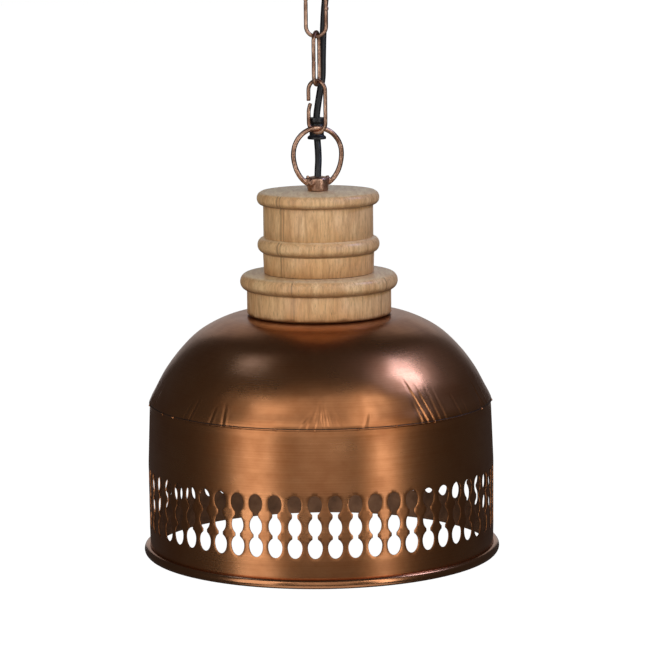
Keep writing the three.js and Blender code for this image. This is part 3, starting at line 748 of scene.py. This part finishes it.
def flat_panel(width, bottom, top, outline):
    """One slot's share of the band laid flat, triangulated round the slot."""
    columns = [width * (k / COLUMNS - 0.5) for k in range(COLUMNS + 1)]
    rows = list(np.linspace(bottom, top, PANEL_ROWS))
    points = [(x, z) for z in (bottom, top) for x in columns]
    points += [(x, z) for z in rows[1:-1] for x in (columns[0], columns[-1])]
    keep_clear = grown(outline, 2 * EDGE_EASE)
    for z in rows[1:-1]:
        points += [(x, z) for x in columns[1:-1] if not inside_outline((x, z), keep_clear)]
    start = len(points)
    points += [tuple(p) for p in outline]
    edges = [(start + k, start + (k + 1) % len(outline)) for k in range(len(outline))]
    found = geometry.delaunay_2d_cdt([Vector(p) for p in points], edges, [], 0, 1e-5)
    flat, triangles, sources = found[0], found[2], found[3]
    order = {s: i for i, group in enumerate(sources) for s in group}
    hole = [order[start + k] for k in range(len(outline))]
    kept = []
    for triangle in triangles:
        centre = sum((flat[i] for i in triangle), Vector((0, 0))) / 3
        if not inside_outline(centre, np.array(outline)):
            kept.append(list(triangle))
    bottom_row = [order[k] for k in range(COLUMNS + 1)]
    top_row = [order[COLUMNS + 1 + k] for k in range(COLUMNS + 1)]
    return flat, kept, hole, bottom_row, top_row


def make_band(finish):
    """The pierced band and its rolled rim: one slot's share, repeated round the lantern."""
    rim_low = low("shade_band").z
    rim_centre = rim_low + BEAD_RADIUS
    top = high("shade_band").z
    rim_radius = high("shade_band").x - BEAD_RADIUS
    groove = rim_centre + BEAD_RADIUS * 0.93
    width = TAU * BAND_RADIUS / SLOTS
    slot_foot = rim_centre + SLOT_ABOVE_RIM
    outline = [(x, z + slot_foot) for x, z in slot_outline()]
    ease = [tuple(p) for p in grown(outline, EDGE_EASE)]
    flat, triangles, hole, bottom_row, top_row = flat_panel(width, groove, top, ease)
    bead = arc(rim_radius, rim_centre, BEAD_RADIUS, BEAD_RADIUS, 104, -122, 20)
    sector, faces, finishes = [], [], []  # points of one slot's share: angle, radius and height

    def put(new_points):
        start = len(sector)
        sector.extend(new_points)
        return list(range(start, len(sector)))

    def on_wall(x, z, depth):
        return math.degrees(x / BAND_RADIUS), band_radius(z) - depth, z

    def join(loops, closed, finish_index):
        count = len(loops[0])
        for one, two in zip(loops, loops[1:]):
            for k in range(count if closed else count - 1):
                n = (k + 1) % count
                faces.append([one[k], one[n], two[n], two[k]])
                finishes.append(finish_index)

    outer = put([on_wall(x, z, 0) for x, z in flat])
    inner = put([on_wall(x, z, SHEET) for x, z in flat])
    for a, b, c in triangles:
        faces += [[outer[a], outer[b], outer[c]], [inner[a], inner[c], inner[b]]]
        finishes += [0, 1]
    edge = [[outer[k] for k in hole]]
    for grow, depth in ((0.12, 0.1), (0.0, 0.3), (0.0, SHEET - 0.3), (0.12, SHEET - 0.1)):
        edge.append(put([on_wall(x, z, depth) for x, z in grown(outline, grow)]))
    edge.append([inner[k] for k in hole])
    join(edge, True, 0)
    join([[outer[k] for k in top_row], [inner[k] for k in top_row]], False, 0)
    rolls = [[outer[k] for k in bottom_row]]
    rolls += [put([(math.degrees(flat[k][0] / BAND_RADIUS), r, z) for k in bottom_row]) for r, z in bead]
    join(rolls, False, 2)
    join([rolls[-1], [inner[k] for k in bottom_row]], False, 1)

    points = []
    for k in range(SLOTS):
        middle = FIRST_SLOT + k * 360 / SLOTS
        points += [round_place(middle + angle, r, z) for angle, r, z in sector]
    faces = [[k * len(sector) + i for i in face] for k in range(SLOTS) for face in faces]
    shape = Shape(points, faces, finishes * SLOTS)
    looks = (finish["shade_copper"], finish["inside_copper"], finish["rim_copper"])
    piece = shape.object("pierced_band", *looks, sharp=BAND_SHARP)
    close_up(piece.data, 0.02 * MM)
    piece.data.set_sharp_from_angle(angle=math.radians(BAND_SHARP))
    settle(piece, "lamp", "shade_copper", "shade_band")


# ---- Chain, ring and hook ----

LINK_WIRE = 3.9
LINK_WIDTH = 19.5
# Each link's body, yaw, height of its butt joint above the middle, gap, and how far one end leans in.
LINKS = {
    "chain_link_3": ("link_3", 0, 8, 0.1, 0.0),
    "chain_link_2": ("link_2", 74, -2, 0.15, 0.4),
    "chain_link_1": ("link_1", -34, 4, 2.6, 2.2),
}
RING_WIRE = 4.7
RING = {"half_width": 24, "rise": 25.1, "drop": 31.7, "yaw": 14}
HOOK_WIRE = 5.0
HOOK_BEND = 9.0


def uneven(radius, amount, seed):
    """A wire's radius, a little uneven, and eased at its two cut ends."""
    def at(share, angle):
        end = 0.88 if share in (0.0, 1.0) else 1.0
        rough = noise.noise(Vector((share * 22 + seed, math.cos(angle), math.sin(angle))))
        return radius * end * (1 + amount * rough)
    return at


def link_line(half, joint, gap, lean):
    """A link's wire, in its own plane, from one side of its butt joint round to the other."""
    bend = LINK_WIDTH / 2
    turn = math.pi * bend
    total = 2 * turn + 4 * half
    line = []
    for s in np.linspace(gap / 2, total - gap / 2, 110):
        run = s - joint - half
        if run < 0:
            inward = lean * max(0.0, 1 - (s - gap / 2) / 9) ** 2
            line.append((-bend + inward, -half - run))
        elif run < turn:
            line.append((-bend * math.cos(run / bend), -half - bend * math.sin(run / bend)))
        elif run < turn + 2 * half:
            line.append((bend, run - turn - half))
        elif run < 2 * turn + 2 * half:
            a = (run - turn - 2 * half) / bend
            line.append((bend * math.cos(a), half + bend * math.sin(a)))
        else:
            line.append((-bend, half - (run - 2 * turn - 2 * half)))
    return line


def make_links(finish):
    """The three links, the top one with a lump of braze on its right leg."""
    for seed, (node, (body, yaw, joint, gap, lean)) in enumerate(LINKS.items()):
        lo, hi = low(node), high(node)
        middle = (lo.z + hi.z) / 2
        half = (hi.z - lo.z - LINK_WIRE - LINK_WIDTH) / 2
        a = math.radians(yaw)
        flat = link_line(half, joint, gap, lean)
        line = [(x * math.cos(a), x * math.sin(a), middle + z) for x, z in flat]
        shape = Shape().add(swept(line, uneven(LINK_WIRE / 2, 0.05, seed * 7), 20))
        if node == "chain_link_3":
            shape.add(blob((LINK_WIDTH / 2 + 0.2, -0.3, middle + 1), (2.3, 2.2, 2.9), 5, 0.3))
        piece = shape.object(f"{node}_wire", finish["chain_copper"])
        settle(piece, body, "chain_copper", node)


def fused(shape, name, material, voxel):
    """One skin round several bodies that are brazed together, with softened joints."""
    rough = shape.object(f"{name}_rough", material)
    remesh = rough.modifiers.new("skin", "REMESH")
    remesh.mode = "VOXEL"
    remesh.voxel_size = voxel * MM
    smooth = rough.modifiers.new("melt", "SMOOTH")
    smooth.iterations = 5
    smooth.factor = 0.6
    mesh = with_modifiers(rough)
    bpy.data.objects.remove(rough)
    mesh.name = name
    mesh.materials.clear()
    mesh.materials.append(material)
    mesh.polygons.foreach_set("use_smooth", [True] * len(mesh.polygons))
    return placed(name, mesh)


def make_ring(finish):
    """The egg-shaped ring, brazed with uneven lumps to the sides of its collar."""
    a = math.radians(RING["yaw"])
    top = high("hanging_ring").z - RING_WIRE / 2
    middle = top - RING["rise"]
    line = []
    for angle in np.linspace(-66, 246, 120):
        c, s = math.cos(math.radians(angle)), math.sin(math.radians(angle))
        x = RING["half_width"] * c
        z = middle + (RING["rise"] if s > 0 else RING["drop"]) * s
        line.append((x * math.cos(a), x * math.sin(a), z))
    bottom, crown = low("loop_collar").z, high("loop_collar").z
    bore = CABLE / 2 + 0.35
    collar = [(5.2, bottom), (10.1, bottom), (10.1, crown - 2.6), (8.6, crown - 0.8), (5.4, crown)]
    collar += [(bore, crown - 0.2), (bore, crown - 4.6), (5.2, crown - 4.6)]
    shape = Shape().add(swept(line, uneven(RING_WIRE / 2 + 0.15, 0.05, 3), 24))
    shape.add(turned(soften(collar, 0.8), 64))
    for side, seed in ((-1, 2), (1, 11)):
        x = side * 9.4
        shape.add(blob((x * math.cos(a), x * math.sin(a), crown - 3.6), (3.4, 3.1, 4.0), seed, 0.45))
    shape.add(blob((-5.2, -7.4, crown - 6.6), (3.6, 2.4, 3.4), 23, 0.6))
    shape.add(blob((-7.8, -4.6, crown - 9.0), (2.6, 2.4, 2.6), 31, 0.6))
    piece = fused(shape, "ring_and_collar", finish["chain_copper"], 0.5)
    settle(piece, "lamp", "chain_copper", "hanging_ring", "loop_collar")


def make_hook(finish):
    """A straight shank on the axis and an open eye below it."""
    lo, hi = low("ceiling_hook"), high("ceiling_hook")
    centre = lo.z + HOOK_BEND + HOOK_WIRE / 2
    line = [(0, 0, z) for z in (hi.z, hi.z - 16, hi.z - 34, hi.z - 36.3)]
    for angle in range(58, -219, -23):
        a = math.radians(angle)
        line.append((0, HOOK_BEND * math.cos(a), centre + HOOK_BEND * math.sin(a)))
    path, _ = smooth_line(line, 1.2)
    hook = solid(swept(path, uneven(HOOK_WIRE / 2, 0.03, 17), 20), "hook_wire", finish["chain_copper"])
    settle(hook, "fitting", "chain_copper", "ceiling_hook")


# ---- Ceiling fitting ----


def make_fitting(finish):
    """The ceiling cup, cut through for the flex, and the grommet in that hole."""
    lo, hi = low("canopy"), high("canopy")
    radius, wall, corner, bore = hi.x, 1.2, 14, 2.8
    centre = lo.z + corner
    cup = [(bore, lo.z), *arc(radius - corner, centre, corner, corner, -90, 0, 14), (radius, hi.z - 1.6)]
    cup += [(radius, hi.z), (radius - wall, hi.z)]
    cup += [*arc(radius - corner, centre, corner - wall, corner - wall, 0, -90, 14), (bore, lo.z + wall)]
    body = solid(turned(cup, 144), "canopy_cup", finish["shade_copper"])
    tool = turned([(0, lo.z - 5), (6, lo.z - 5), (6, lo.z + 5), (0, lo.z + 5)], 40, (11, 17.5))
    cutter = solid(tool, "outlet_tool", finish["shade_copper"])
    hole = body.modifiers.new("outlet", "BOOLEAN")
    hole.operation, hole.object, hole.solver = "DIFFERENCE", cutter, "EXACT"
    mesh = with_modifiers(body)
    body.modifiers.clear()
    body.data = mesh
    mesh.set_sharp_from_angle(angle=math.radians(38))
    bpy.data.objects.remove(cutter)
    settle(body, "fitting", "shade_copper", "canopy")

    lo, hi = low("cable_grommet"), high("cable_grommet")
    at = ((lo.x + hi.x) / 2, (lo.y + hi.y) / 2)
    cup_low = low("canopy").z
    bore = CABLE / 2 + 0.25
    ring = [(bore, lo.z), (8, lo.z), (8, cup_low - GAP), (5.7, cup_low - GAP), (5.7, cup_low + 1.5)]
    ring += [(7.5, cup_low + 1.5), (7.5, hi.z), (bore, hi.z)]
    grommet = solid(turned(soften(ring, 0.6), 56, at), "flex_grommet", finish["moulded_black"])
    settle(grommet, "fitting", "moulded_black", "cable_grommet")


# ---- Lamp holder and bulb ----


def make_holder(finish):
    """The two mouldings of the lamp holder, the lower one ribbed for the fingers."""
    lo, hi = low("holder_cap"), high("holder_cap")
    outer, inner = hi.x, hi.x - 2
    cap = [(inner, lo.z), (outer, lo.z), (outer, hi.z - 13), (outer - 2, hi.z - 9.5), (9, hi.z - 6)]
    cap += [(9, hi.z), (5.2, hi.z), (5.2, hi.z - 8), (inner - 2, hi.z - 11.5), (inner, hi.z - 15)]
    piece = solid(turned(soften(cap, 0.8), 96), "holder_cap_moulding", finish["moulded_black"])
    settle(piece, "lamp", "moulded_black", "holder_cap")

    lo, hi = low("holder_shell"), high("holder_shell")
    shell = [(15.5, lo.z), (outer - 3, lo.z), (outer, hi.z - 14), (outer, hi.z), (inner, hi.z)]
    shell += [(inner, hi.z - 14), (inner - 2.5, lo.z + 2), (15.5, lo.z + 2)]

    def ribbed(r, a, z):
        grip = r > outer - 0.6 and hi.z - 13 < z < hi.z - 1.5
        return r - (0.35 * (1 - math.cos(36 * a)) / 2 if grip else 0)

    moulding = turned(soften(shell, 0.7), 288, warp=ribbed)
    piece = solid(moulding, "holder_shell_moulding", finish["moulded_black"], sharp=50)
    settle(piece, "lamp", "moulded_black", "holder_shell")


THREAD_PITCH = 3.629
FILAMENT_BENDS = 9


def make_bulb(finish):
    """A globe bulb: threaded cap, envelope, glass stem and a zigzag filament strip."""
    lo, hi = low("bulb_cap"), high("bulb_cap")
    radius = hi.x
    walls = list(np.arange(lo.z + 3, hi.z - 1, 0.45))
    cap = [(radius - 1, lo.z), (radius - 0.3, lo.z), (radius - 0.3, lo.z + 2)]
    cap += [(radius - 0.55, z) for z in walls]
    cap += [(radius - 1.3, hi.z - 0.4), (radius - 2.2, hi.z), (radius - 3, hi.z - 0.5)]
    cap += [(radius - 1.9, hi.z - 2), *((radius - 1.55, z) for z in walls[::-1])]

    def threaded(r, a, z):
        along = lo.z + 3 <= z <= hi.z - 1
        return r + (0.5 * math.sin(TAU * z / THREAD_PITCH - a) if along and r > radius - 2 else 0)

    piece = solid(turned(cap, 96, warp=threaded), "bulb_screw_cap", finish["steel"], sharp=60)
    settle(piece, "bulb", "steel", "bulb_cap")

    glass_low, glass_high = low("bulb_glass").z, high("bulb_glass").z
    globe = high("bulb_glass").x
    centre = glass_low + globe
    neck = radius - 2.6
    wall = 0.9
    envelope = [*arc(0, centre, globe, globe, -90, 40, 30), (18.2, lo.z - 16), (15.2, lo.z - 8)]
    envelope[0] = (0, glass_low)
    envelope += [(neck, lo.z - 1), (neck, glass_high), (neck - wall, glass_high), (neck - wall, lo.z - 1.4)]
    envelope += [(14.3, lo.z - 8.3), (17.3, lo.z - 16.2)]
    envelope += arc(0, centre, globe - wall, globe - wall, 40, -90, 30)
    envelope[-1] = (0, glass_low + wall)
    piece = solid(turned(envelope, 96), "bulb_envelope", finish["clear_glass"], sharp=70)
    settle(piece, "bulb", "clear_glass", "bulb_glass")

    stem_low, stem_high = low("bulb_stem").z, high("bulb_stem").z
    stem = [(0, stem_low), (2.5, stem_low), (2.7, lo.z - 6), (3.2, lo.z), (9.2, stem_high), (0, stem_high)]
    piece = solid(turned(soften(stem, 0.8), 48), "bulb_stem_glass", finish["clear_glass"], sharp=60)
    settle(piece, "bulb", "clear_glass", "bulb_stem")

    zigzag = []
    for i in range(FILAMENT_BENDS):
        reach = 11 * (0.55 if i % 2 else 1)
        a = i / (FILAMENT_BENDS - 1) * TAU * 0.9
        zigzag.append((reach * math.cos(a), reach * math.sin(a), lo.z - 30 - (i % 2) * 14))
    path, _ = smooth_line(zigzag, 1.0)
    piece = solid(swept(path, uneven(0.7, 0.04, 2), 12), "bulb_filament_strip", finish["filament"])
    settle(piece, "bulb", "filament", "bulb_filament")


# CAD nodes whose shape stays as it is, and the material of each.
KEPT = {
    "ceiling_plate": "steel", "hook_bush": "steel", "canopy_nut": "chain_copper", "terminal_block": "ceramic",
    "threaded_nipple": "steel", "dome_washer": "steel", "nipple_nut": "steel", "cable_inner": "flex_black",
    "holder_core": "ceramic", "screw_shell": "brass", "centre_contact": "brass", "live_core": "core_brown",
    "neutral_core": "core_blue", "earth_core": "core_green", "bulb_contact": "brass",
    "bulb_insulator": "moulded_black",
}


def finish_kept_nodes(finish):
    """The CAD pieces whose shape is right as it is take a better material."""
    for node, material in KEPT.items():
        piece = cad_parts[node]
        piece.data.materials.clear()
        piece.data.materials.append(finish[material])


# ---- Studio ----

BACKDROP = 1.0  # brightness of the surroundings where the camera sees them
AMBIENT = 0.05  # and as a light
FLOOR_LEVEL_M = -2.6
FLOOR_REACH_M = 60
WHITE = (1, 1, 1)
LIT_POINT_M = (0, 0, -0.46)
# Azimuth, elevation, distance, width and height in metres, power and colour.
SOFTBOXES = {
    "left_strip": (-42, 10, 2.0, (0.95, 2.6), 15, WHITE),
    "right_strip": (40, 14, 2.2, (0.42, 2.8), 14.4, WHITE),
    "front": (0, 10, 2.6, (1.7, 2.4), 8.1, WHITE),
    "front_high": (0, 39, 2.4, (2.7, 1.0), 5.8, WHITE),
    "upper_right": (88, 46, 1.7, (0.44, 0.44), 5, (0.66, 0.84, 1.6)),
    "upper_left": (-88, 57.5, 1.7, (0.26, 0.26), 0.48, (0.66, 0.92, 1.45)),
    "back": (180, 20, 2.2, (1.9, 2.4), 6.5, WHITE),
    "low_front": (0, -60, 1.15, (1.4, 1.0), 3.7, WHITE),
}


def softbox(name, azimuth, elevation, distance_m, size_m, power, tone):
    """A rectangular light that faces the shade from an angle round it and above the horizon."""
    data = bpy.data.lights.new(name, "AREA")
    data.shape = "RECTANGLE"
    data.size, data.size_y = size_m
    data.energy = power
    data.color = tone
    lamp = placed(name, data)
    level = distance_m * math.cos(math.radians(elevation))
    away = Vector(round_place(azimuth, level, distance_m * math.sin(math.radians(elevation))))
    lamp.location = Vector(LIT_POINT_M) + away
    lamp.rotation_mode = "QUATERNION"
    lamp.rotation_quaternion = (-away).to_track_quat("-Z", "Y")


def make_studio():
    """A white backdrop, a white floor far below the lantern, and the softboxes."""
    world = bpy.data.worlds.new("studio")
    world.use_nodes = True
    bpy.context.scene.world = world
    tree = world.node_tree
    background = tree.nodes["Background"]
    seen = tree.nodes.new("ShaderNodeLightPath")
    level = tree.nodes.new("ShaderNodeMapRange")
    tree.links.new(seen.outputs["Is Camera Ray"], level.inputs[0])
    level.inputs[3].default_value = AMBIENT
    level.inputs[4].default_value = BACKDROP
    tree.links.new(level.outputs[0], background.inputs["Strength"])
    background.inputs["Color"].default_value = (*WHITE, 1)

    mesh = bpy.data.meshes.new("floor")
    sides = [(-1, -1), (1, -1), (1, 1), (-1, 1)]
    corners = [(x * FLOOR_REACH_M, y * FLOOR_REACH_M, FLOOR_LEVEL_M) for x, y in sides]
    mesh.from_pydata(corners, [], [(0, 1, 2, 3)])
    paint = plain("floor_paint", (0.9, 0.9, 0.89), 0.8, 3, 0.0, 0.01)
    shader = paint.node_tree.nodes["Principled BSDF"]
    shader.inputs["Emission Color"].default_value = (*WHITE, 1)
    shader.inputs["Emission Strength"].default_value = BACKDROP
    mesh.materials.append(paint)
    floor = placed("floor", mesh)
    floor.visible_glossy = floor.visible_diffuse = False

    for name, settings in SOFTBOXES.items():
        softbox(name, *settings)
    bpy.context.scene.view_settings.view_transform = "Standard"


make_camera()
finish = make_materials()
make_flex(finish["flex_black"], make_grip(finish["moulded_black"]))
make_wood(finish)
make_dome(finish)
make_band(finish)
make_links(finish)
make_ring(finish)
make_hook(finish)
make_fitting(finish)
make_holder(finish)
make_bulb(finish)
finish_kept_nodes(finish)
make_studio()
